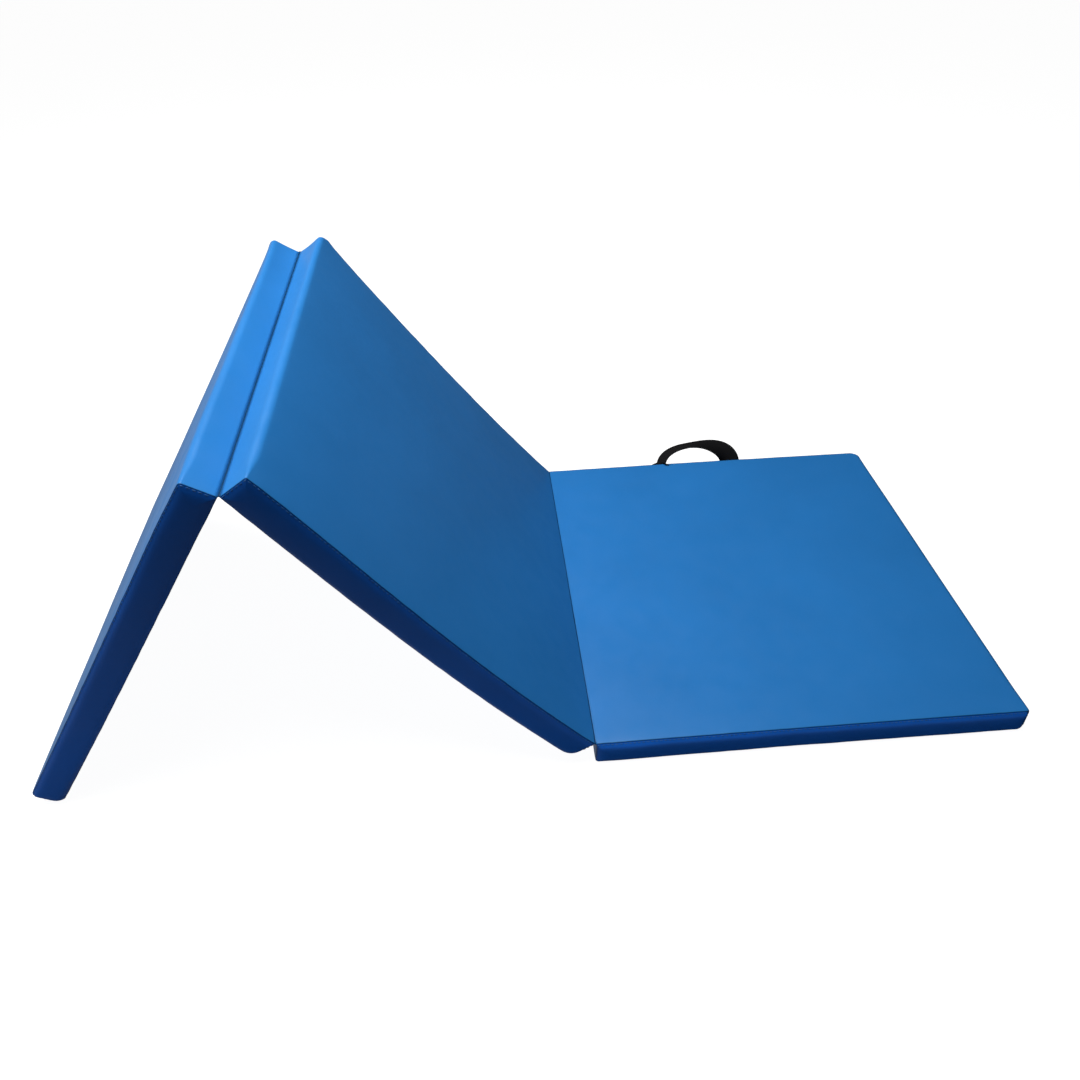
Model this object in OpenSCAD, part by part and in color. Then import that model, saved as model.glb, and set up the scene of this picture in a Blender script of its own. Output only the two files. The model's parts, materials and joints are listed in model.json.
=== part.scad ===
// Folding gym mat: three foam panels in sewn vinyl covers, hinged in a Z.
// One panel lies on the floor and the other two stand on it as a tent.
// Origin: centre of the underside of the lying panel. +X along the mat, +Z up.

/* [Panels] */
// Length of one panel, from hinge seam to hinge seam
panel_l = 600; // [500:10:700]
// Width of the mat
mat_w = 600; // [450:10:1200]
// Thickness of a panel
panel_t = 41; // [32:1:60]
// How much longer the two outer panels are than the middle one, at their free ends
end_swell = 4; // [0:1:10]
// Corner radius of a panel's soft edges
edge_r = 9; // [6:0.5:12]
// Corner radius beside a hinge seam
hinge_r = 3; // [2.5:0.5:5]
// Thickness of the vinyl cover
cover_t = 1; // [0.6:0.1:1.4]

/* [Hinges] */
// Gap between a hinge seam and the panel on each side
hinge_gap = 1.5; // [1:0.1:4]
// How far a hinge seam stands proud of the panel face
seam_rise = 0.4; // [0.3:0.1:1]
// Radius of the sewn bead along a hinge seam
bead_r = 1.1; // [0.8:0.1:1.5]
// Width of the sewn hinge strip beside the bead
strip_w = 12; // [10:1:20]
// Thickness of the sewn hinge strip
strip_t = 0.6; // [0.4:0.1:0.8]

/* [Rest pose] */
// Slope of the middle panel above the floor
middle_slope = 54; // [45:0.1:65]
// Lean of the lying panel's handle, outwards from upright
base_lean = 37; // [22:1:102]
// Lean of the outer panel's handle, outwards from the panel's face direction
outer_lean = 115; // [22:1:115]

/* [Handles] */
// Width of the handle webbing
web_w = 38; // [25:1:40]
// Thickness of the handle webbing
web_t = 2.4; // [2:0.1:3]
// Distance between the centres of a handle's two sewn ends
handle_span = 134; // [130:2:180]
// Height of a handle's arch above the line that it swings on
handle_h = 44; // [44:1:60]
// Height of that line above the panel's underside
handle_z = 31; // [28:1:34]
// Height of the lower edge of the sewn ends above the underside
tab_z = 4; // [3:0.5:8]
// Handle centre, from the middle of the panel towards the hinge seam
handle_shift = 15; // [0:1:30]

/* [Hidden] */
$fn = 48;
EPS = 1;             // overshoot of cutting shapes
core_gap = 0.2;      // clearance between the foam and the inside of its cover
tab_gap = 2.4;       // sewn end to the line that the strap swings on
web_gap = 0.5;       // strap to the gusset, at that line
strap_foot = 1.6;    // start of the free strap above that line
arch_power = 2.5;    // 2 is an ellipse, more is squarer
RINGS = 28;          // sections along a strap

// hinge seam between the lying and the middle panel: [x, z]
end_l = panel_l + end_swell;
hinge_b = [-end_l / 2, panel_t + seam_rise];
// hinge seam between the middle and the outer panel, on the other face
hinge_a = [hinge_b.x - panel_l * cos(middle_slope)
               - (panel_t + 2 * seam_rise) * sin(middle_slope),
           hinge_b.y + panel_l * sin(middle_slope)
               - (panel_t + 2 * seam_rise) * cos(middle_slope)];
// slope of the outer panel, whose rounded inner corner stands on the floor
foot_reach = end_l - edge_r;
foot_rise = seam_rise + edge_r;
outer_slope = atan(foot_rise / foot_reach)
    + asin((hinge_a.y - edge_r) / norm([foot_reach, foot_rise]));

// Each panel in its own frame: X away from its hinge seam, Z from underside to top
// face, the seam at the origin. [far end, underside Z, corner radii, hinged end is
// covered by the bottom sheet]; radii are start bottom, start top, end bottom, end top
under_seam = -seam_rise - panel_t;
base_panel = [end_l, under_seam, [edge_r, hinge_r, edge_r, edge_r], true];
middle_panel = [panel_l - hinge_gap, under_seam, [edge_r, hinge_r, hinge_r, edge_r], true];
outer_panel = [end_l, seam_rise, [hinge_r, edge_r, edge_r, edge_r], false];

far_face = mat_w / 2;
strap_y = far_face + web_gap + web_t / 2;   // line that a handle's strap swings on
base_handle_x = panel_l / 2 - handle_shift;
outer_handle_x = panel_l / 2 + handle_shift;

// ---- placing ----

module place_base() { translate([hinge_b.x, 0, hinge_b.y]) children(); }

module place_middle()
{
    translate([hinge_b.x, 0, hinge_b.y]) rotate([0, middle_slope, 0])
        mirror([1, 0, 0]) children();
}

module place_outer()
{
    translate([hinge_a.x, 0, hinge_a.y]) rotate([0, -outer_slope, 0])
        mirror([1, 0, 0]) children();
}

// ---- outlines in a panel's own X and Z ----

// what a rounded corner at p leaves out; way points from the corner inwards
module sharp_corner(p, way, r)
{
    difference() {
        translate([p.x + way.x * (r - EPS) / 2, p.y + way.y * (r - EPS) / 2])
            square(r + EPS, center = true);
        translate([p.x + way.x * r, p.y + way.y * r]) circle(r);
    }
}

// a panel's outline, pulled in on every side by inset
module panel_outline(panel, inset = 0)
{
    low = [hinge_gap + inset, panel[1] + inset];
    high = [panel[0] - inset, panel[1] + panel_t - inset];
    r = [for (corner = panel[2]) corner - inset];
    difference() {
        translate(low) square(high - low);
        sharp_corner(low, [1, 1], r[0]);
        sharp_corner([low.x, high.y], [1, -1], r[1]);
        sharp_corner([high.x, low.y], [-1, 1], r[2]);
        sharp_corner(high, [-1, -1], r[3]);
    }
}

module cover_outline(panel)
{
    difference() {
        panel_outline(panel);
        panel_outline(panel, cover_t);
    }
}

// where the cover is the bottom sheet: up to the side seam, and where the sheet
// covers the hinged end, all the way up that end
module bottom_sheet_zone(panel)
{
    translate([0, panel[1] - EPS]) square([panel[0] + EPS, edge_r + EPS]);
    if (panel[3])
        translate([0, panel[1]]) square([hinge_gap + hinge_r, panel_t - hinge_r]);
}

module across_mat(width)
{
    rotate([90, 0, 0]) linear_extrude(width, center = true) children();
}

// ---- a panel's five pieces, in its own frame ----

module foam_core(panel)
{
    color("lightgray") across_mat(mat_w - 2 * (cover_t + core_gap))
        panel_outline(panel, cover_t + core_gap);
}

module top_cover(panel)
{
    color("steelblue") across_mat(mat_w - 2 * cover_t) difference() {
        cover_outline(panel);
        bottom_sheet_zone(panel);
    }
}

module bottom_cover(panel)
{
    color("royalblue") across_mat(mat_w - 2 * cover_t) intersection() {
        cover_outline(panel);
        bottom_sheet_zone(panel);
    }
}

// side is -1 for the near gusset and 1 for the far one
module gusset(panel, side)
{
    color("midnightblue") translate([0, side * (far_face - cover_t / 2), 0])
        across_mat(cover_t) panel_outline(panel);
}

module base_foam_core() { place_base() foam_core(base_panel); }
module base_top_cover() { place_base() top_cover(base_panel); }
module base_bottom_cover() { place_base() bottom_cover(base_panel); }
module base_near_gusset() { place_base() gusset(base_panel, -1); }
module base_far_gusset() { place_base() gusset(base_panel, 1); }

module middle_foam_core() { place_middle() foam_core(middle_panel); }
module middle_top_cover() { place_middle() top_cover(middle_panel); }
module middle_bottom_cover() { place_middle() bottom_cover(middle_panel); }
module middle_near_gusset() { place_middle() gusset(middle_panel, -1); }
module middle_far_gusset() { place_middle() gusset(middle_panel, 1); }

module outer_foam_core() { place_outer() foam_core(outer_panel); }
module outer_top_cover() { place_outer() top_cover(outer_panel); }
module outer_bottom_cover() { place_outer() bottom_cover(outer_panel); }
module outer_near_gusset() { place_outer() gusset(outer_panel, -1); }
module outer_far_gusset() { place_outer() gusset(outer_panel, 1); }

// ---- hinge strips: a sewn bead on the fold line, and a strip along the panel ----

// outward is 1 where the seam is on the top face and -1 where it is underneath
module hinge_strip(outward)
{
    color("midnightblue") across_mat(mat_w) union() {
        circle(bead_r);
        translate([0, outward > 0 ? -seam_rise : seam_rise - strip_t])
            square([strip_w, strip_t]);
    }
}

module lower_hinge_strip() { place_middle() hinge_strip(1); }
module upper_hinge_strip() { place_outer() hinge_strip(-1); }

// ---- webbing handles ----

// The free part of a strap stands on the swing line: X along the panel, Z up the
// arch, Y across the webbing at the crown. It turns from flat against the gusset
// at its feet to lying across the arch at the crown.
function arch_point(a) = [
    -handle_span / 2 * sign(cos(a)) * pow(abs(cos(a)), 2 / arch_power),
    strap_foot + (handle_h - strap_foot) * pow(abs(sin(a)), 2 / arch_power)];

function smooth(t) = t * t * (3 - 2 * t);
function arch_turn(a) = 90 * smooth(min(a, 180 - a) / 90);

function arch_tangent(a) =
    let (step = 0.5)
    let (d = arch_point(min(a + step, 180)) - arch_point(max(a - step, 0)))
    d / norm(d);

function strap_ring(a) =
    let (p = arch_point(a), t = arch_tangent(a), turn = arch_turn(a))
    let (across = [-t.y, t.x])
    let (w = web_w / 2 * [across.x * cos(turn), sin(turn), across.y * cos(turn)])
    let (h = web_t / 2 * [-across.x * sin(turn), cos(turn), -across.y * sin(turn)])
    let (c = [p.x, 0, p.y])
    [c - w - h, c + w - h, c + w + h, c - w + h];

function ring_faces(k) = let (m = 4 * k) [for (j = [0:3], half = [0, 1])
    let (n = (j + 1) % 4)
    half == 0 ? [m + j, m + n, m + 4 + j] : [m + n, m + 4 + n, m + 4 + j]];

module free_strap()
{
    rings = [for (k = [0:RINGS]) strap_ring(180 * k / RINGS)];
    last = 4 * RINGS;
    color("dimgray") polyhedron(
        points = [for (ring = rings) each ring],
        faces = [[3, 2, 1, 0], for (k = [0:RINGS - 1]) each ring_faces(k),
                 [last, last + 1, last + 2, last + 3]],
        convexity = 4);
}

// a sewn end: the webbing flat on the gusset; side is -1 or 1 along the panel
module sewn_end(x, side)
{
    color("black") translate([x + side * handle_span / 2 - web_w / 2, far_face, tab_z])
        cube([web_w, web_t, handle_z - tab_gap - tab_z]);
}

// on a panel whose underside is at Z bottom, lean outwards from upright
module strap_on_panel(x, bottom, lean)
{
    translate([x, strap_y, bottom + handle_z]) rotate([-lean, 0, 0]) free_strap();
}

module end_on_panel(x, bottom, side) { translate([0, 0, bottom]) sewn_end(x, side); }

module base_handle_strap() { place_base() strap_on_panel(base_handle_x, under_seam, base_lean); }
module base_handle_end_a() { place_base() end_on_panel(base_handle_x, under_seam, -1); }
module base_handle_end_b() { place_base() end_on_panel(base_handle_x, under_seam, 1); }

module outer_handle_strap()
{
    place_outer() strap_on_panel(outer_handle_x, seam_rise, outer_lean);
}

module outer_handle_end_a() { place_outer() end_on_panel(outer_handle_x, seam_rise, -1); }
module outer_handle_end_b() { place_outer() end_on_panel(outer_handle_x, seam_rise, 1); }

base_foam_core();
base_top_cover();
base_bottom_cover();
base_near_gusset();
base_far_gusset();
middle_foam_core();
middle_top_cover();
middle_bottom_cover();
middle_near_gusset();
middle_far_gusset();
outer_foam_core();
outer_top_cover();
outer_bottom_cover();
outer_near_gusset();
outer_far_gusset();
lower_hinge_strip();
upper_hinge_strip();
base_handle_strap();
base_handle_end_a();
base_handle_end_b();
outer_handle_strap();
outer_handle_end_a();
outer_handle_end_b();
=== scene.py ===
"""Looks of the folding gym mat: vinyl covers, foam, sewn seams, hinge webs and webbing handles.

Everything is in metres in the frame of the CAD model. Each panel is described in its own
coordinates: s along the mat from its hinge seam, y across the mat, h from underside to top.
"""

import json
import math

import bmesh
import bpy
import numpy as np
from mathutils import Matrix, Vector, noise


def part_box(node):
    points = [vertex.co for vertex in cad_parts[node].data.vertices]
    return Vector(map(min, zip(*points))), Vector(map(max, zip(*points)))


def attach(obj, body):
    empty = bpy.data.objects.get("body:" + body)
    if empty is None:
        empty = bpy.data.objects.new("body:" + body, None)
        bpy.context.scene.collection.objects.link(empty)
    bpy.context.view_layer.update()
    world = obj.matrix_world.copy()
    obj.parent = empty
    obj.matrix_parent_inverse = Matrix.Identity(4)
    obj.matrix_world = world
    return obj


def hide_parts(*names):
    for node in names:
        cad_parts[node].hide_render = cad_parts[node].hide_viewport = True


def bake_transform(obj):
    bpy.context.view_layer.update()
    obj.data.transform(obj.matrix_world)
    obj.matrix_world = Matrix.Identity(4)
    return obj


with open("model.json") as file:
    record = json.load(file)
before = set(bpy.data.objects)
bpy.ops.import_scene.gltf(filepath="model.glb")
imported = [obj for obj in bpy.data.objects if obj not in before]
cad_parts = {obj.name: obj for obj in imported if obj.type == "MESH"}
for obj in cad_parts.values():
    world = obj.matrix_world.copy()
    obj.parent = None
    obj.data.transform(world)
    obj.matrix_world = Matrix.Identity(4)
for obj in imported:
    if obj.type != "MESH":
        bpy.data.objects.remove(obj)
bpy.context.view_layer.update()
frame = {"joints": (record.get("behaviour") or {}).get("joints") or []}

MM = 0.001
ACROSS = Vector((0, 1, 0))

# ---------------------------------------------------------------- the frame's own sizes

JOINT = {j["name"]: j for j in frame["joints"]}
LOWER_SEAM = Vector(JOINT["lower_fold"]["pos_m"])
UPPER_SEAM = Vector(JOINT["upper_fold"]["pos_m"])
near_low, near_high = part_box("base_near_gusset")
HALF_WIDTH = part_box("base_far_gusset")[1].y
THICK = near_high.z - near_low.z
END_LENGTH = near_high.x - LOWER_SEAM.x
RISE = LOWER_SEAM.z - near_high.z
CHORD = UPPER_SEAM - LOWER_SEAM
MIDDLE_LENGTH = math.sqrt(CHORD.length ** 2 - (THICK + 2 * RISE) ** 2)
MIDDLE_SLOPE = math.atan2(CHORD.z, -CHORD.x) + math.atan2(THICK + 2 * RISE, MIDDLE_LENGTH)

# ---------------------------------------------------------------- dimensions of the looks

SEAM_IN = 0.4 * MM        # gusset seam, in from the side of the mat
SEAM_Y = HALF_WIDTH - SEAM_IN
ROLL_OUT = 4.4 * MM       # how far a gusset swells out beside its seam
GAP = 0.5 * MM            # panel end to hinge seam, at the lower fold
PEAK_GAP = 0.05 * MM      # and at the upper fold
BULGE_DEPTH = 9 * MM      # how far in from its seam a gusset is rolled over
FAR_ROLL = 0.2            # share of ROLL_OUT on the far gussets, under the handles
BASE_ROLL = 1.15          # share on the base panel's near gusset
PEAK_ROLL = 0.5           # share at the peak on the other near gussets, growing to 1
FULL_ROLL = 260 * MM      # distance from the peak where it is 1
ROLL_UNEVEN = 0.22        # how much the roll varies along a gusset
GUSSET_CROWN = 0.9 * MM
GUSSET_SLACK = 0.5 * MM   # uneven slack of a gusset's face
CROWN = 1.6 * MM          # swell of a top face
UNDER_CROWN = {"base": 0, "middle": 0.35, "outer": 0.35}    # share of it on an underside
CROWN_FROM_SEAM = 45 * MM     # how far in from a gusset seam the swell builds up
CROWN_FROM_END = 40 * MM      # and from a panel's ends
WAVINESS = 0.7 * MM       # unevenness of a top face
SAG = {"base": -1.2 * MM, "middle": 8.6 * MM, "outer": 1.0 * MM}    # below 0, it arches up
SAG_SKEW = {"base": 1, "middle": 0.8, "outer": 1.6}    # below 1, deepest nearer the start
SAG_TILT = 1.6 * MM       # how much less the middle panel sags at its far side
SKIN = 0.8 * MM           # thickness of the vinyl
FOAM_IN = 2.2 * MM        # foam inside the cover's outer face
CORNER_FADE = 45 * MM     # from a seam's tight corner to the soft one inside
PULL = 0.5 * MM           # how far a gusset seam is drawn in
SEAM_FADE = 5 * MM
PINCH = {"middle": 3 * MM, "outer": 2 * MM}    # near corners at the peak, drawn down
FAR_CORNER = 9 * MM       # rounding of a panel's corners in plan
NEAR_CORNER = 3.5 * MM
CORNER_REACH = 35 * MM    # how far along a panel that rounding is felt
UNDER_SLACK = {"base": 0, "middle": 0.6 * MM, "outer": 0.5 * MM}   # cover hanging off the foam
SPLAY = 4 * MM            # underside of the base panel's free end, out from the top
SPLAY_REACH = 25 * MM
# shift along s of the middle of an end face: all across the mat, and more at the far side
END_SHIFT = {"base": (-2.0 * MM, 0), "middle": (0, -1.5 * MM), "outer": (0, 0)}
START_SHIFT = {"base": (0.6 * MM, 0), "middle": (-0.6 * MM, 0), "outer": (0, 2 * MM)}
FACE_DEPTH = 3 * MM       # how deep into a panel such a shift is felt
FLARE = 3.5 * MM          # far corners at the peak, puffed up
PINCH_FADE = 38 * MM      # how far along a panel its peak corners are drawn or puffed
PUCKER = 0.32 * MM        # small creases beside a gusset seam
PUCKER_REACH = 9 * MM
SEAM_SHADE = {"cover": 1.3 * MM, "gusset": 1.0 * MM, "web": 1.1 * MM}    # reach of the darkening beside a seam: dirt and painted shade
WEAR_AND_HIGHLIGHT_REACH = 9 * MM       # wear and a painted highlight round a top edge


class Panel:
    """One padded panel. Corner radii are for bottom and top at the start, then at the end:
    beside the near gusset, in the middle of the mat, and beside the far gusset."""

    def __init__(self, name, origin, along, bottom, length, gaps, near, soft, far):
        self.name = name
        self.body = name + "_panel"
        self.origin = np.array(origin)
        self.along = np.array(along)
        up = Vector(along).cross(ACROSS)
        self.up = np.array(-up if up.z < 0 else up)
        self.length = length
        self.start = gaps[0]
        self.end = length - gaps[1]
        self.bottom = bottom
        self.top = bottom + THICK
        self.seam_radii = {-1: np.array(near) * MM, 1: np.array(far) * MM}
        self.soft_radii = np.array(soft) * MM

    def centre(self):
        return self.place((self.start + self.end) / 2, 0, (self.bottom + self.top) / 2)

    def place(self, s, y, h):
        """Panel coordinates, as arrays, to points in the frame."""
        flat = [np.asarray(v, float)[..., None] for v in np.broadcast_arrays(s, y, h)]
        return self.origin + flat[0] * self.along + flat[1] * np.array(ACROSS) + flat[2] * self.up


def slope_direction(angle):
    return Vector((-math.cos(angle), 0, math.sin(angle)))


BASE = Panel("base", LOWER_SEAM, Vector((1, 0, 0)), -RISE - THICK, END_LENGTH,
             (GAP, 0), near=(4, 1.2, 11, 6), soft=(9, 2, 12, 9), far=(9, 2, 12, 8))
MIDDLE = Panel("middle", LOWER_SEAM, slope_direction(MIDDLE_SLOPE), -RISE - THICK,
               MIDDLE_LENGTH, (GAP, PEAK_GAP),
               near=(17, 1.2, 0.7, 2.5), soft=(13, 2, 0.7, 9), far=(9, 2, 0.7, 9))
OUTER = Panel("outer", UPPER_SEAM, Vector(JOINT["outer_handle_swing"]["axis"]), RISE,
              END_LENGTH, (PEAK_GAP, 0),
              near=(0.7, 4, 14, 9), soft=(0.7, 9, 12, 10), far=(0.7, 9, 12, 9))
PANELS = (BASE, MIDDLE, OUTER)

# ---------------------------------------------------------------- shape of a panel


def smooth(t):
    t = np.clip(t, 0, 1)
    return t * t * (3 - 2 * t)


def wave(x, y, scale, seed):
    """Smooth noise from -1 to 1 over arrays of places."""
    x, y = np.broadcast_arrays(x, y)
    values = [noise.noise(Vector((a * scale, b * scale, seed))) for a, b in zip(x.flat, y.flat)]
    return np.array(values).reshape(x.shape)


FLAT_STEPS, FACE_STEPS, ARC_STEPS = 140, 8, 10


def outline(panel, radii, inset, steps=(FLAT_STEPS, FACE_STEPS, ARC_STEPS)):
    """(s, h) round a panel's section: underside, end, top, start. Same count whatever the radii."""
    flat, face, arc = steps
    s0, s1 = panel.start + inset, panel.end - inset
    h0, h1 = panel.bottom + inset, panel.top - inset
    bs, ts, be, te = np.clip(radii - inset, 0.2 * MM, (h1 - h0) / 2 - 0.01 * MM)

    def line(a, b, n):
        t = np.linspace(0, 1, n, endpoint=False)[:, None]
        return np.array(a) * (1 - t) + np.array(b) * t

    def corner(s, h, r, first):
        a = np.radians(np.linspace(first, first + 90, arc, endpoint=False))
        return np.stack([s + r * np.cos(a), h + r * np.sin(a)], 1)

    return np.concatenate([
        line((s0 + bs, h0), (s1 - be, h0), flat), corner(s1 - be, h0 + be, be, -90),
        line((s1, h0 + be), (s1, h1 - te), face), corner(s1 - te, h1 - te, te, 0),
        line((s1 - te, h1), (s0 + ts, h1), flat), corner(s0 + ts, h1 - ts, ts, 90),
        line((s0, h1 - ts), (s0, h0 + bs), face), corner(s0 + bs, h0 + bs, bs, 180)])


def section_marks(steps=(FLAT_STEPS, FACE_STEPS, ARC_STEPS)):
    """Index of the first point of each stretch of an outline."""
    flat, face, arc = steps
    counts = [flat, arc, face, arc, flat, arc, face, arc]
    names = ["underside", "bottom_end", "end", "top_end", "top", "top_start", "start", "bottom_start"]
    first = np.concatenate([[0], np.cumsum(counts)])
    return dict(zip(names + ["count"], (int(v) for v in first)))


MARK = section_marks()


def sag(panel, s, y):
    """How far a panel hangs below its flat shape."""
    t = np.clip(s / panel.length, 0, 1)
    tilt = SAG_TILT * y / HALF_WIDTH if panel is MIDDLE else 0
    return (SAG[panel.name] - tilt) * np.sin(math.pi * t ** SAG_SKEW[panel.name])


def rounded_corners(panel, s, y, seam):
    """Rounds the corners of a panel's plan at its free end and at the far end of the peak."""
    radius = np.where(y > 0, FAR_CORNER, NEAR_CORNER)
    pull = radius * (1 - np.clip(seam / radius, 0, 1)) ** 2.2
    far = np.where(y > 0, 1, 0)
    at_end = smooth((s - panel.end) / CORNER_REACH + 1)
    at_start = smooth((panel.start - s) / CORNER_REACH + 1)
    end_share = far if panel is MIDDLE else 1
    start_share = far if panel is OUTER else 0
    return s + pull * (at_start * start_share - at_end * end_share)


def face_shift(shifts, panel, y):
    across, at_far = shifts[panel.name]
    return across + at_far * smooth(y / HALF_WIDTH)


def shaped(panel, s, y, h):
    """Swell, creases and sag of a panel's surface at panel coordinates."""
    seam = SEAM_Y - np.abs(y)
    up = np.clip((h - panel.bottom) / THICK * 2 - 1, -1, 1)
    inside = 1 - np.exp(-np.clip(seam, 0, None) / CROWN_FROM_SEAM)
    ends = np.clip(np.minimum(s - panel.start, panel.end - s), 0, None)
    swell = CROWN * inside * (1 - np.exp(-ends / CROWN_FROM_END))
    h = h + swell * np.where(up > 0, 1, UNDER_CROWN[panel.name]) * up ** 3
    h = h + np.where(up > 0.5, 1, 0) * inside * WAVINESS * wave(s, y, 7, 3 + panel.bottom)
    if panel is not BASE:
        peak = panel.length - s if panel is MIDDLE else s
        drawn = (up + 1) / 2 * np.exp(-(peak + (HALF_WIDTH + y) / 2) / PINCH_FADE)
        puffed = (up + 1) / 2 * np.exp(-(peak + HALF_WIDTH - y) / PINCH_FADE)
        h = h - PINCH[panel.name] * drawn + FLARE * puffed
    s = rounded_corners(panel, s, y, seam)
    slack = UNDER_SLACK[panel.name] * np.sin(math.pi * np.clip(s / panel.length, 0, 1))
    h = h - sag(panel, s, y) - slack * (1 - up) / 2
    middle = 1 - up ** 2
    at_end = smooth((s - panel.end) / FACE_DEPTH + 1)
    s = s + face_shift(END_SHIFT, panel, y) * middle * at_end
    if panel is BASE:
        s = s + SPLAY * (1 - up) / 2 * smooth((s - panel.end) / SPLAY_REACH + 1)
    at_start = smooth((panel.start - s) / FACE_DEPTH + 1)
    s = s + face_shift(START_SHIFT, panel, y) * middle * at_start
    pucker = PUCKER * np.exp(-np.clip(seam, 0, None) / PUCKER_REACH)
    h = h + pucker * wave(s, y * 0 + np.sign(y), 62, 9 + panel.end)
    return s, y, h


# ---------------------------------------------------------------- meshes


def new_object(name, mesh):
    made = bpy.data.objects.new(name, mesh)
    bpy.context.scene.collection.objects.link(made)
    return made


def face_out(mesh, inside):
    """Turns every face of a mesh away from a point inside it, or of each part if it is None."""
    work = bmesh.new()
    work.from_mesh(mesh)
    bmesh.ops.recalc_face_normals(work, faces=work.faces)
    if inside is not None:
        inside = Vector(inside)
        facing = sum(f.calc_area() * f.normal.dot(f.calc_center_median() - inside)
                     for f in work.faces)
        if facing < 0:
            bmesh.ops.reverse_faces(work, faces=work.faces)
    work.to_mesh(mesh)
    work.free()


def mesh_from(name, points, faces, uvs=None, values=None, inside=None):
    """A smooth mesh. uvs are per point, in metres; values are per point float attributes."""
    mesh = bpy.data.meshes.new(name)
    mesh.from_pydata([tuple(p) for p in points], [], faces)
    for key, data in (values or {}).items():
        mesh.attributes.new(key, "FLOAT", "POINT").data.foreach_set(
            "value", np.asarray(data, np.float32))
    if uvs is not None:
        layer = mesh.uv_layers.new(name="UVMap")
        corner = np.zeros(len(mesh.loops), np.int32)
        mesh.loops.foreach_get("vertex_index", corner)
        layer.data.foreach_set("uv", np.asarray(uvs, np.float32)[corner].ravel())
    face_out(mesh, inside)
    mesh.polygons.foreach_set("use_smooth", [True] * len(mesh.polygons))
    mesh.update()
    return new_object(name, mesh)


def grid_faces(rows, columns, wrap=False):
    faces = []
    for i in range(rows - 1):
        for j in range(columns if wrap else columns - 1):
            k = (j + 1) % columns
            faces.append((i * columns + j, i * columns + k,
                          (i + 1) * columns + k, (i + 1) * columns + j))
    return faces


def thicken(piece, depth):
    """Gives a sheet its thickness, inwards, and applies it."""
    modifier = piece.modifiers.new("thickness", "SOLIDIFY")
    modifier.thickness = depth
    modifier.offset = -1
    modifier.use_even_offset = True
    modifier.use_rim = True
    apply_modifiers(piece)


def apply_modifiers(piece):
    bpy.context.view_layer.update()
    evaluated = piece.evaluated_get(bpy.context.evaluated_depsgraph_get())
    mesh = bpy.data.meshes.new_from_object(evaluated)
    old = piece.data
    piece.modifiers.clear()
    piece.data = mesh
    bpy.data.meshes.remove(old)


def stations():
    """Places across the mat, closer together beside the two gusset seams."""
    near_seam = np.array([0, 0.8, 1.8, 3.2, 5, 7.5, 11, 15, 20, 26, 33]) * MM
    inner = np.linspace(-SEAM_Y + 41 * MM, SEAM_Y - 41 * MM, 72)
    return np.concatenate([-SEAM_Y + near_seam, inner, (SEAM_Y - near_seam)[::-1]])


def skin_points(panel):
    """Every station's outline: arrays s, y, h of shape (stations, points round)."""
    ys = stations()
    rows = []
    for y in ys:
        seam = SEAM_Y - abs(y)
        t = smooth(seam / CORNER_FADE)
        radii = panel.seam_radii[1 if y > 0 else -1] * (1 - t) + panel.soft_radii * t
        rows.append(outline(panel, radii, PULL * math.exp(-seam / SEAM_FADE)))
    rows = np.array(rows)
    return rows[..., 0], np.repeat(ys[:, None], rows.shape[1], 1), rows[..., 1]


def skin_piece(panel, name, first, last):
    """A sheet of the cover from one point of the outline to another, all across the mat."""
    s, y, h = skin_points(panel)
    count = s.shape[1]
    pick = np.arange(first, last + 1) % count
    s, y, h = s[:, pick], y[:, pick], h[:, pick]
    step = np.hypot(np.diff(s[len(s) // 2]), np.diff(h[len(h) // 2]))
    run = np.concatenate([[0], np.cumsum(step)])
    uv = np.stack([np.repeat(run[None], len(s), 0), y], -1).reshape(-1, 2)
    seam = SEAM_Y - np.abs(y)
    s, y, h = shaped(panel, s, y, h)
    # seam carries the dirt and painted shade beside the gusset seams; edge carries wear and a painted
    # highlight on a top edge
    values = {"seam": np.exp(-seam / SEAM_SHADE["cover"]).ravel(),
              "edge": wear_and_highlight_value(panel, s, h).ravel()}
    points = panel.place(s, y, h).reshape(-1, 3)
    piece = mesh_from(name, points, grid_faces(*s.shape), uv, values, panel.centre())
    thicken(piece, SKIN)
    return piece


def wear_and_highlight_value(panel, s, h):
    """1 along the rounded top edge at a panel's far end, where the vinyl shows wear and a painted
    highlight, and 0 elsewhere.
    """
    end = np.abs(s - panel.end)
    top = np.abs(h - panel.top)
    return np.exp(-(end + top) / WEAR_AND_HIGHLIGHT_REACH)


GUSSET_RINGS = np.array([0, 0.2, 0.5, 1, 1.8, 3, 4.6, 6.8, 10, 14.5, 18.9]) * MM


def gusset_out(panel, depth, s, h, side):
    """How far a gusset stands out from its seam, at a depth inside the seam's outline."""
    roll = 1 - np.clip(depth / BULGE_DEPTH, 0, 1)
    peak = panel.length - s if panel is MIDDLE else s
    if side > 0:
        share = FAR_ROLL
    elif panel is BASE:
        share = BASE_ROLL
    else:
        share = PEAK_ROLL + (1 - PEAK_ROLL) * smooth(peak / FULL_ROLL)
    uneven = 1 + ROLL_UNEVEN * wave(s, h * 0, 9, 31 + side)
    swell = ROLL_OUT * share * uneven * (1 - roll ** 2)
    slack = GUSSET_SLACK * wave(s, h, 16, 21 + side) * smooth(depth / (9 * MM))
    return SEAM_Y + swell + GUSSET_CROWN * smooth(depth / (18 * MM)) + slack


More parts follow.
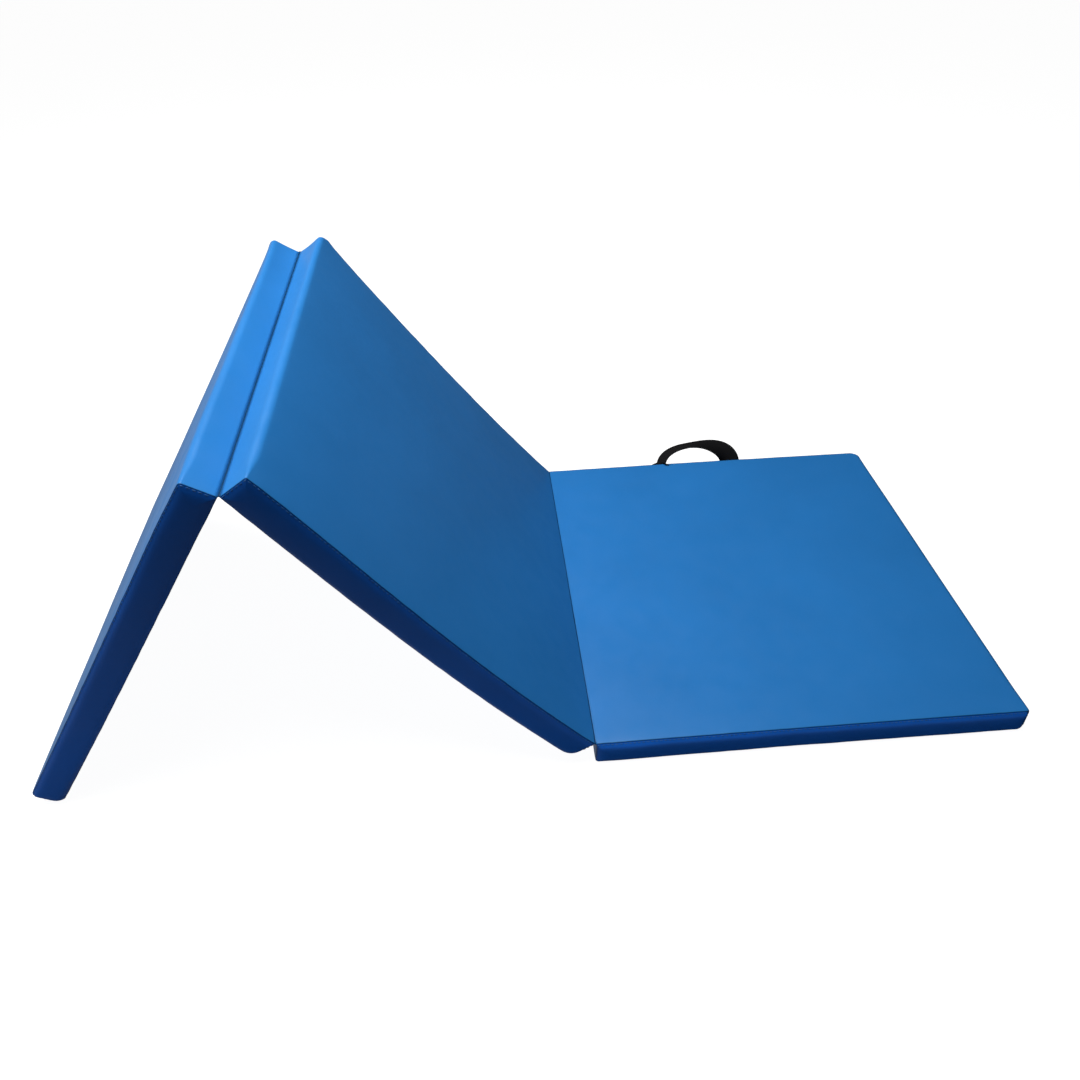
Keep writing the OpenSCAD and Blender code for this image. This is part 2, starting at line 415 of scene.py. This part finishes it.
def gusset_piece(panel, name, side):
    """The side panel of a cover: rolled over at its seam and gently crowned."""
    layers = np.array([outline(panel, panel.seam_radii[side], PULL + r) for r in GUSSET_RINGS])
    depth = np.repeat(GUSSET_RINGS[:, None], layers.shape[1], 1)
    s, _, h = shaped(panel, layers[..., 0], side * SEAM_Y, layers[..., 1])
    points = panel.place(s, side * gusset_out(panel, depth, s, h, side), h).reshape(-1, 3)
    rings, count = s.shape
    faces = grid_faces(rings, count, wrap=True) + strip_faces((rings - 1) * count)
    uv = np.stack([layers[..., 0], layers[..., 1]], -1).reshape(-1, 2)
    # seam carries the dirt and painted shade beside the gusset's own seam
    values = {"seam": np.exp(-depth / SEAM_SHADE["gusset"]).ravel(), "edge": depth.ravel() * 0}
    piece = mesh_from(name, points, faces, uv, values, panel.centre())
    thicken(piece, SKIN)
    return piece


def strip_faces(first):
    """Closes the innermost ring of a gusset: its underside points to its top points."""
    flat = FLAT_STEPS
    faces = []
    for j in range(flat):
        low, high = MARK["underside"] + j, MARK["top_start"] - j
        faces.append((first + low, first + high, first + high - 1, first + low + 1))
    end = [first + k for k in range(MARK["bottom_end"], MARK["top"] + 1)]
    start = [first + k for k in range(MARK["top_start"], MARK["count"])] + [first]
    return faces + [tuple(reversed(end)), tuple(reversed(start))]


def foam_piece(panel, name):
    """The foam block inside a cover, following its shape."""
    steps = (48, 4, 4)
    edge = SEAM_Y - 3 * MM
    rounding = np.array([6, 3, 1, 0]) * MM
    inner = np.linspace(-edge + 14 * MM, edge - 14 * MM, 30)
    ys = np.concatenate([-edge + rounding[::-1], inner, edge - rounding])
    extra = np.concatenate([[4, 1.5, 0.4, 0], np.zeros(len(inner)), [0, 0.4, 1.5, 4]]) * MM
    rows = np.array([outline(panel, panel.soft_radii, FOAM_IN + e, steps) for e in extra])
    s, y, h = shaped(panel, rows[..., 0], ys[:, None], rows[..., 1])
    count = s.shape[1]
    points = panel.place(s, np.broadcast_to(y, s.shape), h).reshape(-1, 3)
    faces = grid_faces(len(ys), count, wrap=True)
    faces.append(tuple(range(count)))
    faces.append(tuple(reversed(range((len(ys) - 1) * count, len(ys) * count))))
    uv = np.stack([rows[..., 0], np.broadcast_to(ys[:, None], s.shape)], -1).reshape(-1, 2)
    return mesh_from(name, points, faces, uv, inside=panel.centre())


# ---------------------------------------------------------------- stitches

THREAD_SIDES = 6
STITCH_RING = 1.3 * MM    # stitches on a gusset, in from its seam


def rows_along(path):
    """Distance from the start at each point of a path."""
    return np.concatenate([[0], np.cumsum(np.linalg.norm(np.diff(path, axis=0), axis=1))])


def stitch_line(path, normal, pitch, length, radius):
    """Vertices and faces of thread stitches that lie on a path. normal is per point."""
    run = rows_along(path)
    count = int(run[-1] / pitch)
    points, faces = [], []
    for n in range(count):
        at = (n + 0.5) * pitch + np.array([-0.5, -0.3, 0.3, 0.5]) * length
        centre = np.stack([np.interp(at, run, path[:, k]) for k in range(3)], 1)
        lift = np.stack([np.interp(at, run, normal[:, k]) for k in range(3)], 1)
        lift /= np.linalg.norm(lift, axis=1)[:, None]
        forward = centre[-1] - centre[0]
        side = np.cross(forward / np.linalg.norm(forward), lift)
        rise = np.array([-0.5, 0.6, 0.6, -0.5]) * radius
        size = np.array([0.35, 1, 1, 0.35]) * radius
        base = len(points)
        for k in range(4):
            middle = centre[k] + lift[k] * rise[k]
            for a in np.linspace(0, 2 * math.pi, THREAD_SIDES, endpoint=False):
                points.append(middle + size[k] * (math.cos(a) * side[k] + math.sin(a) * lift[k]))
        last = base + 3 * THREAD_SIDES
        faces += [tuple(base + v for v in f) for f in grid_faces(4, THREAD_SIDES, wrap=True)]
        faces.append(tuple(base + v for v in reversed(range(THREAD_SIDES))))
        faces.append(tuple(last + v for v in range(THREAD_SIDES)))
    return points, faces


def stitched(name, lines, pitch=6 * MM, length=4.4 * MM, radius=0.42 * MM):
    """One piece of thread from several (path, normal) lines."""
    points, faces = [], []
    for path, normal in lines:
        more, more_faces = stitch_line(np.array(path), np.array(normal), pitch, length, radius)
        faces += [tuple(v + len(points) for v in f) for f in more_faces]
        points += more
    return mesh_from(name, points, faces)


def gusset_stitches(panel, name, side):
    """Thread round a gusset, just inside its seam, on the rolled edge."""
    section = outline(panel, panel.seam_radii[side], PULL + STITCH_RING)
    section = section[MARK["end"]:MARK["bottom_start"]]
    s, _, h = shaped(panel, section[:, 0], side * SEAM_Y, section[:, 1])
    path = panel.place(s, side * gusset_out(panel, STITCH_RING, s, h, side), h)
    level = (h - (panel.top + panel.bottom) / 2) / THICK
    normal = side * np.array(ACROSS) + level[:, None] * panel.up
    return stitched(name, [(path, normal)])


# ---------------------------------------------------------------- materials


def linear(*rgb):
    """sRGB from 0 to 255 to scene-linear."""
    out = [c / 255 / 12.92 if c <= 10 else ((c / 255 + 0.055) / 1.055) ** 2.4 for c in rgb]
    return (*out, 1.0)


def scaled(colour, factor):
    return tuple(min(1, c * factor) for c in colour[:3]) + (1,)


class Nodes:
    """A material's node tree, with short ways to add and join nodes."""

    def __init__(self, name):
        self.material = bpy.data.materials.new(name)
        self.material.use_nodes = True
        self.tree = self.material.node_tree
        self.shader = self.tree.nodes["Principled BSDF"]

    def add(self, kind, **settings):
        node = self.tree.nodes.new(kind)
        for key, value in settings.items():
            if key in node.inputs:
                node.inputs[key].default_value = value
            else:
                setattr(node, key, value)
        return node

    def join(self, out, into):
        self.tree.links.new(out, into)

    def feed(self, value, socket):
        """Joins an output to a socket, or sets the socket if value is a number or colour."""
        if isinstance(value, bpy.types.NodeSocket):
            self.join(value, socket)
        else:
            socket.default_value = value

    def noise(self, vector, scale, detail=3.0, roughness=0.5):
        node = self.add("ShaderNodeTexNoise", Scale=scale, Detail=detail, Roughness=roughness)
        self.join(vector, node.inputs["Vector"])
        return node.outputs["Fac"]

    def remap(self, value, low, high, to_low, to_high):
        node = self.add("ShaderNodeMapRange")
        for key, number in zip(("From Min", "From Max", "To Min", "To Max"),
                               (low, high, to_low, to_high)):
            node.inputs[key].default_value = number
        self.join(value, node.inputs["Value"])
        return node.outputs["Result"]

    def mix(self, factor, a, b, blend="MIX"):
        node = self.add("ShaderNodeMix", data_type="RGBA", blend_type=blend)
        for value, index in ((factor, 0), (a, 6), (b, 7)):
            self.feed(value, node.inputs[index])
        return node.outputs[2]

    def math(self, operation, a, b=0.0):
        node = self.add("ShaderNodeMath", operation=operation)
        self.feed(a, node.inputs[0])
        self.feed(b, node.inputs[1])
        return node.outputs[0]

    def bump(self, height, distance, strength, under=None):
        node = self.add("ShaderNodeBump", Distance=distance, Strength=strength)
        self.join(height, node.inputs["Height"])
        if under is not None:
            self.join(under, node.inputs["Normal"])
        return node.outputs["Normal"]

    def uv(self):
        return self.add("ShaderNodeTexCoord").outputs["UV"]

    def attribute(self, name):
        return self.add("ShaderNodeAttribute", attribute_name=name).outputs["Fac"]


def vinyl(name, colour, roughness=0.36, gloss=0.28):
    """Blue PVC-coated fabric: pebbled grain, soft gloss, darkened in its seams by dirt and painted
    shade, lighter on its top edges with wear and a painted highlight.
    """
    n = Nodes(name)
    uv = n.uv()
    cloudy = n.remap(n.noise(uv, 6, 4), 0.3, 0.7, 0.0, 1.0)
    fine = n.noise(uv, 140, 3)
    light = scaled(colour, 1.04)
    base = n.mix(cloudy, scaled(colour, 0.95), light)
    base = n.mix(n.remap(fine, 0.35, 0.65, 0, 0.16), base, light)
    # lighter, rougher patches on the top edges: wear of the vinyl, and a painted highlight on the
    # rounded edge
    wear_and_highlight_colour = tuple(c * 0.75 + 0.2 * w for c, w in zip(colour[:3], (0.25, 0.55, 0.9))) + (1,)
    wear_and_highlight_mask = n.math("MULTIPLY", n.attribute("edge"), n.remap(n.noise(uv, 45, 5), 0.5, 0.75, 0, 0.3))
    base = n.mix(wear_and_highlight_mask, base, wear_and_highlight_colour)
    # dirt and painted shade: the colour darkened into the seams' grooves, and their gloss turned down
    # there
    seam_dirt_and_shade = n.remap(n.attribute("seam"), 0.25, 0.95, 0, 0.92)
    base = n.mix(seam_dirt_and_shade, base, scaled(colour, 0.10))
    n.join(base, n.shader.inputs["Base Color"])

    rough = n.remap(n.noise(uv, 30, 4), 0.3, 0.7, roughness - 0.05, roughness + 0.08)
    rough = n.math("ADD", rough, n.remap(wear_and_highlight_mask, 0, 0.5, 0, 0.15))
    n.join(rough, n.shader.inputs["Roughness"])
    n.join(n.remap(n.attribute("seam"), 0.25, 0.95, gloss, 0.03),
           n.shader.inputs["Specular IOR Level"])

    pebble = n.add("ShaderNodeTexVoronoi", Scale=900.0, feature="SMOOTH_F1")
    warp = n.mix(0.004, uv, n.add("ShaderNodeTexNoise", Scale=300.0).outputs["Color"], "ADD")
    n.join(warp, pebble.inputs["Vector"])
    grain = n.bump(pebble.outputs["Distance"], 0.00012, 0.4)
    creases = n.noise(uv, 260, 6, 0.62)
    grain = n.bump(creases, 0.00010, 0.35, grain)
    n.join(n.bump(n.noise(uv, 14, 3), 0.0009, 0.3, grain), n.shader.inputs["Normal"])
    return n.material


def thread(name, colour):
    n = Nodes(name)
    where = n.add("ShaderNodeTexCoord").outputs["Object"]
    base = n.mix(n.noise(where, 900, 2), scaled(colour, 0.7), colour)
    n.join(base, n.shader.inputs["Base Color"])
    n.shader.inputs["Roughness"].default_value = 0.55
    n.join(n.bump(n.noise(where, 2500, 2), 0.0001, 0.5), n.shader.inputs["Normal"])
    return n.material


def webbing(name, colour):
    """Black woven webbing: fine ribs along its length and a cross weave."""
    n = Nodes(name)
    uv = n.uv()
    ribs = n.add("ShaderNodeTexWave", Scale=150.0, Distortion=0.6, wave_type="BANDS",
                 bands_direction="Y")
    picks = n.add("ShaderNodeTexWave", Scale=240.0, Distortion=0.8, wave_type="BANDS",
                  bands_direction="X")
    for wave_node in (ribs, picks):
        n.join(uv, wave_node.inputs["Vector"])
    weave = n.math("MULTIPLY", ribs.outputs["Fac"], n.remap(picks.outputs["Fac"], 0, 1, 0.55, 1))
    base = n.mix(n.remap(weave, 0, 1, 0, 1), scaled(colour, 0.5), scaled(colour, 1.5))
    base = n.mix(n.remap(n.noise(uv, 80, 4), 0.4, 0.7, 0, 0.3), base, colour)
    n.join(base, n.shader.inputs["Base Color"])
    n.join(n.remap(n.noise(uv, 400, 2), 0.3, 0.7, 0.6, 0.85), n.shader.inputs["Roughness"])
    n.shader.inputs["Specular IOR Level"].default_value = 0.2
    n.join(n.bump(weave, 0.0004, 0.7), n.shader.inputs["Normal"])
    return n.material


def foam(name):
    n = Nodes(name)
    where = n.add("ShaderNodeTexCoord").outputs["Object"]
    cells = n.add("ShaderNodeTexVoronoi", Scale=700.0)
    n.join(where, cells.inputs["Vector"])
    base = n.mix(cells.outputs["Distance"], (0.72, 0.72, 0.68, 1), (0.85, 0.85, 0.82, 1))
    n.join(base, n.shader.inputs["Base Color"])
    n.shader.inputs["Roughness"].default_value = 0.9
    n.join(n.bump(cells.outputs["Distance"], 0.0004, 0.6), n.shader.inputs["Normal"])
    return n.material


COVER_VINYL = vinyl("cover_vinyl", (0.022, 0.188, 0.520, 1))
# the gussets' vinyl: a darker, deeper blue and less glossy copy of the cover's, painted shade for the
# sides that face away from the light
SHADED_GUSSET_VINYL = vinyl("gusset_vinyl", (0.009, 0.118, 0.560, 1), gloss=0.12)
# the upper hinge web's vinyl: a darker, a little rougher copy of the cover's, painted shade for the
# web deep in the fold at the peak
SHADED_HINGE_VINYL = vinyl("hinge_vinyl", (0.022, 0.165, 0.450, 1), roughness=0.4)
BLUE_THREAD = thread("blue_thread", linear(40, 104, 172))
BLACK_THREAD = thread("black_thread", linear(38, 38, 42))
BLACK_WEBBING = webbing("black_webbing", linear(7, 7, 10))
FOAM = foam("foam")


def finish_piece(piece, material, body=None, replaces=()):
    piece.data.materials.clear()
    piece.data.materials.append(material)
    if body:
        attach(piece, body)
    if replaces:
        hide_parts(*replaces)
    return piece


# ---------------------------------------------------------------- the three panels


def make_panel(panel):
    name = panel.name
    # the bottom sheet covers the end beside the lower fold; the top sheet covers the others
    top_last = MARK["bottom_start"] if panel is OUTER else MARK["start"]
    sheets = {"top_cover": (MARK["end"], top_last),
              "bottom_cover": (top_last, MARK["count"] + MARK["end"])}
    for part, (first, last) in sheets.items():
        piece = skin_piece(panel, name + "_" + part + "_vinyl", first, last)
        finish_piece(piece, COVER_VINYL, panel.body, [name + "_" + part])
    for part, side in (("near_gusset", -1), ("far_gusset", 1)):
        piece = gusset_piece(panel, name + "_" + part + "_vinyl", side)
        # gussets take the darker vinyl, painted shade
        finish_piece(piece, SHADED_GUSSET_VINYL, panel.body, [name + "_" + part])
        piece = gusset_stitches(panel, name + "_" + part + "_stitches", side)
        finish_piece(piece, BLUE_THREAD, panel.body)
    pad = foam_piece(panel, name + "_foam_block")
    finish_piece(pad, FOAM, panel.body, [name + "_foam_core"])


for each_panel in PANELS:
    make_panel(each_panel)

# ---------------------------------------------------------------- hinge webs

WEB_THICK = 0.7 * MM
WEB_THREAD = 0.18 * MM    # radius of its thread
# each web's points from its edge to its seam: how far from the seam, and how far off the face
LOWER_REACH = np.array([3.4, 3, 2.6, 2.2, 1.8, 1.4, 1.0, 0.6, 0.3, 0]) * MM
LOWER_LIFT = np.array([-0.5, -0.2, 0, 0.05, 0.08, 0.05, 0, -0.1, -0.25, -0.3]) * MM
UPPER_REACH = np.array([11, 9, 7, 5, 3.6, 2.6, 1.8, 1.2, 0.6, 0]) * MM
UPPER_LIFT = np.array([0.05, 0.05, 0.05, 0.05, 0.05, 0.03, 0, -0.1, -0.2, -0.25]) * MM


def hinge_web(name, first, second, face, web_reach, lift, replaced):
    """A strip of vinyl sewn across a fold between two panels, shaped as it lies at rest and fixed to
    neither. face is 1 on top and -1 underneath, where its stitches show."""
    ys = np.linspace(-SEAM_Y, SEAM_Y, 121)
    y = np.repeat(ys[:, None], len(web_reach), 1)
    drawn = PULL * np.exp(-(SEAM_Y - np.abs(y)) / SEAM_FADE)

    def arm_points(panel):
        level = panel.top if face > 0 else panel.bottom
        reach = panel.length - web_reach if panel is MIDDLE and face < 0 else web_reach
        s, _, h = shaped(panel, np.repeat(reach[None], len(ys), 0), y, np.full(y.shape, level))
        return panel.place(s, y, h + face * (lift - drawn))

    a, b = arm_points(first), arm_points(second)
    seam = (a[:, -1:] + b[:, -1:]) / 2
    grid = np.concatenate([a[:, :-1], seam, b[:, :-1][:, ::-1]], 1)
    rows, columns, _ = grid.shape
    run = np.concatenate([-web_reach, web_reach[:-1][::-1]])
    uv = np.stack([np.repeat(run[None], rows, 0), np.repeat(ys[:, None], columns, 1)], -1)
    # painted shade: the web darkened along the crease where it folds
    shade = np.exp(-np.abs(run) / SEAM_SHADE["web"])
    values = {"seam": np.repeat(shade[None], rows, 0).ravel(), "edge": np.zeros(rows * columns)}
    behind = grid.reshape(-1, 3).mean(0) - (first.up + second.up) * face * 100 * MM
    piece = mesh_from(name, grid.reshape(-1, 3), grid_faces(rows, columns), uv.reshape(-1, 2),
                      values, behind)
    thicken(piece, WEB_THICK)
    # the web under the peak's fold takes the darker vinyl, painted shade
    finish_piece(piece, SHADED_HINGE_VINYL if face < 0 else COVER_VINYL, None, [replaced])
    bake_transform(piece)

    if face > 0:
        return
    for side, arm_grid, panel, row in (("a", a, first, 1), ("b", b, second, 2)):
        path = arm_grid[2:-2, row]
        normal = np.repeat((panel.up * face)[None], len(path), 0)
        threads = stitched(name + "_stitches_" + side, [(path, normal)], radius=WEB_THREAD)
        finish_piece(threads, BLUE_THREAD, panel.body)


hinge_web("lower_hinge_web", BASE, MIDDLE, 1, LOWER_REACH, LOWER_LIFT, "lower_hinge_strip")
hinge_web("upper_hinge_web", MIDDLE, OUTER, -1, UPPER_REACH, UPPER_LIFT, "upper_hinge_strip")

# ---------------------------------------------------------------- webbing handles

WEB_WIDTH = 38 * MM
WEB_HALF = 1.2 * MM       # half the webbing's thickness
SPAN = 134 * MM
ARCH = 40 * MM
TOP_TWIST = 77            # degrees that the strap is turned at the top of its arch
FOOT = 1.6 * MM           # start of the arch above the swing line
SWING_HEIGHT = 31 * MM    # swing line above a panel's underside
TAB_LOW = 4 * MM          # lower edge of a sewn end above it
TAB_HIGH = -1.5 * MM      # its upper edge, from the swing line
TAB_OUT = 0.8 * MM        # sewn end out from the line that the strap swings on


def webbing_section():
    """(across, through) round the webbing's section, both edges rounded."""
    flat = np.linspace(-1, 1, 13) * (WEB_WIDTH / 2 - WEB_HALF)
    turn = np.radians([-60, -30, 0, 30, 60])
    right = np.stack([WEB_WIDTH / 2 - WEB_HALF + WEB_HALF * np.cos(turn),
                      WEB_HALF * np.sin(turn)], 1)
    low = np.stack([flat, np.full(len(flat), -WEB_HALF)], 1)
    return np.concatenate([low, right, -low, -right])


def ribbon(name, centres, widths, normals, fullness):
    """Webbing along centres. widths and normals are unit vectors; fullness scales thickness."""
    section = webbing_section()
    rings = (centres[:, None] + section[None, :, :1] * widths[:, None]
             + section[None, :, 1:] * normals[:, None] * fullness[:, None, None])
    rows, columns, _ = rings.shape
    faces = grid_faces(rows, columns, wrap=True)
    faces.append(tuple(range(columns)))
    faces.append(tuple(range((rows - 1) * columns, rows * columns)))
    run = rows_along(centres)
    uv = np.stack([np.repeat(run[:, None], columns, 1),
                   np.repeat(section[None, :, 0], rows, 0)], -1).reshape(-1, 2)
    return mesh_from(name, rings.reshape(-1, 3), faces, uv)


def arch_line(left_twist, right_twist):
    """The strap's line: x along the panel, z above the swing line, and twist, foot to foot."""
    legs = np.linspace(-6 * MM, FOOT, 9)[:-1]
    a = np.radians(np.linspace(0, 180, 61))
    x = -SPAN / 2 * np.sign(np.cos(a)) * np.abs(np.cos(a)) ** 0.95
    z = FOOT + (ARCH - FOOT) * np.abs(np.sin(a)) ** 0.9
    turn = np.minimum(np.degrees(a) / left_twist, (180 - np.degrees(a)) / right_twist)
    twist = TOP_TWIST * smooth(turn)
    leg_x = np.full(len(legs), SPAN / 2)
    untwisted = np.zeros(len(legs))
    x = np.concatenate([-leg_x, x, leg_x])
    z = np.concatenate([legs, z, legs[::-1]])
    twist = np.concatenate([untwisted, twist, untwisted])
    return x, z, np.radians(twist)


def leaning(z, lean):
    """Out and up from the swing line, and lean, at a height along a strap that bends over."""
    steps = np.linspace(-8 * MM, ARCH + 2 * MM, 400)
    angle = math.radians(lean) * smooth((steps + 4 * MM) / (10 * MM))
    step = steps[1] - steps[0]
    out = np.cumsum(np.sin(angle)) * step
    up = np.cumsum(np.cos(angle)) * step - 8 * MM
    return np.interp(z, steps, out), np.interp(z, steps, up), np.interp(z, steps, angle)


def box_x_lines(centre, along, up, out):
    """Stitch lines of a sewn box with a cross in it, on the outer side of a sewn end."""
    wide, tall = WEB_WIDTH / 2 - 4 * MM, 8.5 * MM
    corners = [(-wide, -tall), (wide, -tall), (wide, tall), (-wide, tall)]
    routes = [corners + corners[:1], [corners[0], corners[2]], [corners[1], corners[3]]]
    lines = []
    for route in routes:
        for (x0, z0), (x1, z1) in zip(route, route[1:]):
            t = np.linspace(0, 1, 12)[:, None]
            path = centre + (x0 + (x1 - x0) * t) * along + (z0 + (z1 - z0) * t) * up
            lines.append((path, np.repeat(out[None], 12, 0)))
    return lines


def make_handle(name, panel, lean, left_twist, right_twist):
    """A strap that leans out by lean degrees. Each twist is the part of the arch, in degrees from
    that foot, over which the strap turns to TOP_TWIST."""
    across = np.array(ACROSS)
    swing = np.array(JOINT[name + "_swing"]["pos_m"]) + across * TAB_OUT
    x, z, twist = arch_line(left_twist, right_twist)
    out, up, angle = leaning(z, lean)
    centres = swing + x[:, None] * panel.along + out[:, None] * across + up[:, None] * panel.up
    rise = np.cos(angle)[:, None] * panel.up + np.sin(angle)[:, None] * across
    away = np.cos(angle)[:, None] * across - np.sin(angle)[:, None] * panel.up
    tangent = np.stack([np.gradient(x), np.gradient(z)], 1)
    tangent /= np.linalg.norm(tangent, axis=1)[:, None]
    flat = -tangent[:, 1:] * panel.along + tangent[:, :1] * rise
    widths = flat * np.cos(twist)[:, None] + away * np.sin(twist)[:, None]
    normals = away * np.cos(twist)[:, None] - flat * np.sin(twist)[:, None]
    strap = ribbon(name + "_webbing", centres, widths, normals, np.ones(len(x)))
    finish_piece(strap, BLACK_WEBBING, None, [name + "_strap"])
    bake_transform(strap)

    low, high = TAB_LOW - SWING_HEIGHT, TAB_HIGH
    for letter, side in (("a", -1), ("b", 1)):
        heights = np.concatenate([low + np.array([0, 0.3, 0.9, 1.8]) * MM,
                                  np.linspace(low + 3 * MM, high - 1.5 * MM, 12),
                                  high - np.array([0.8, 0.3, 0]) * MM])
        fullness = np.concatenate([[0.2, 0.6, 0.9, 1.0], np.ones(12), [0.85, 0.6, 0.2]])
        foot = swing + side * SPAN / 2 * panel.along + across * 0.35 * MM
        rows = len(heights)
        tab = ribbon(name + "_end_" + letter + "_webbing", foot + heights[:, None] * panel.up,
                     np.repeat(panel.along[None], rows, 0), np.repeat(across[None], rows, 0),
                     fullness)
        finish_piece(tab, BLACK_WEBBING, panel.body, [name + "_end_" + letter])
        centre = foot + panel.up * (low + high) / 2 + across * WEB_HALF
        lines = box_x_lines(centre, panel.along, panel.up, across)
        threads = stitched(name + "_end_" + letter + "_stitches", lines, 3.2 * MM, 2.5 * MM,
                           0.35 * MM)
        finish_piece(threads, BLACK_THREAD, panel.body)


make_handle("base_handle", BASE, 37, 9, 105)
make_handle("outer_handle", OUTER, 115, 90, 90)

# ---------------------------------------------------------------- floor, light and camera


def make_floor():
    points = [(-9, -9, 0), (9, -9, 0), (9, 9, 0), (-9, 9, 0)]
    floor = mesh_from("floor", points, [(0, 1, 2, 3)], inside=(0, 0, -1))
    n = Nodes("floor")
    n.shader.inputs["Base Color"].default_value = (0.30, 0.30, 0.30, 1)
    n.shader.inputs["Roughness"].default_value = 0.9
    n.shader.inputs["Specular IOR Level"].default_value = 0.1
    n.shader.inputs["Emission Color"].default_value = (1, 1, 1, 1)
    n.shader.inputs["Emission Strength"].default_value = 0.97
    floor.data.materials.append(n.material)
    floor.visible_diffuse = False
    floor.visible_glossy = False


def area_light(name, place, target, size, power, glossy=True):
    light = bpy.data.lights.new(name, "AREA")
    light.shape = "RECTANGLE"
    light.size, light.size_y = size
    light.energy = power
    made = new_object(name, light)
    made.location = place
    made.rotation_euler = (Vector(target) - Vector(place)).to_track_quat("-Z", "Y").to_euler()
    made.visible_camera = False
    made.visible_glossy = glossy
    return made


def set_world(ambient, direction, strength):
    """A white studio to the eye that lights the mat with a dim ambient and one broad soft lobe."""
    world = bpy.data.worlds.new("studio")
    world.use_nodes = True
    tree = world.node_tree
    way = tree.nodes.new("ShaderNodeTexCoord").outputs["Generated"]
    dot = tree.nodes.new("ShaderNodeVectorMath")
    dot.operation = "DOT_PRODUCT"
    dot.inputs[1].default_value = Vector(direction).normalized()
    tree.links.new(way, dot.inputs[0])
    lobe = tree.nodes.new("ShaderNodeMapRange")
    lobe.interpolation_type = "SMOOTHSTEP"
    lobe.inputs["From Min"].default_value = 0.1
    lobe.inputs["To Max"].default_value = strength
    tree.links.new(dot.outputs["Value"], lobe.inputs["Value"])
    total = tree.nodes.new("ShaderNodeMath")
    total.inputs[1].default_value = ambient
    tree.links.new(lobe.outputs["Result"], total.inputs[0])
    seen = tree.nodes.new("ShaderNodeLightPath").outputs["Is Camera Ray"]
    pick = tree.nodes.new("ShaderNodeMix")
    pick.inputs[3].default_value = 1.0
    tree.links.new(seen, pick.inputs[0])
    tree.links.new(total.outputs[0], pick.inputs[2])
    tree.nodes["Background"].inputs["Color"].default_value = (1, 1, 1, 1)
    tree.links.new(pick.outputs[0], tree.nodes["Background"].inputs["Strength"])
    bpy.context.scene.world = world


def make_camera():
    data = bpy.data.cameras.new("camera")
    data.sensor_width = 36
    data.lens = 27.2
    data.shift_x = 0.0225
    data.shift_y = -0.05
    camera = new_object("camera", data)
    camera.location = (-0.4352, -0.9273, 1.0)
    camera.rotation_euler = [math.radians(a) for a in (51.14, 1.21, -4.16)]
    bpy.context.scene.camera = camera


make_floor()
area_light("overhead", (-0.85, 0.12, 2.0), (-0.5, 0, 0.1), (1.5, 1.6), 53)
area_light("low_front", (-0.4, -0.62, 0.02), (-0.4, -0.4, 0.5), (2.0, 0.4), 1.3, glossy=False)
area_light("foot", (-1.45, -0.55, 0.02), (-1.0, -0.32, 0.1), (0.4, 0.4), 0.35, glossy=False)
area_light("low_back", (-0.2, 0.95, 0.03), (-0.2, 0.6, 1.0), (1.8, 0.5), 3.0, glossy=False)
set_world(0.0018, (-0.6, 0.6, -0.5), 0.34)
make_camera()
bpy.context.scene.view_settings.view_transform = "Standard"
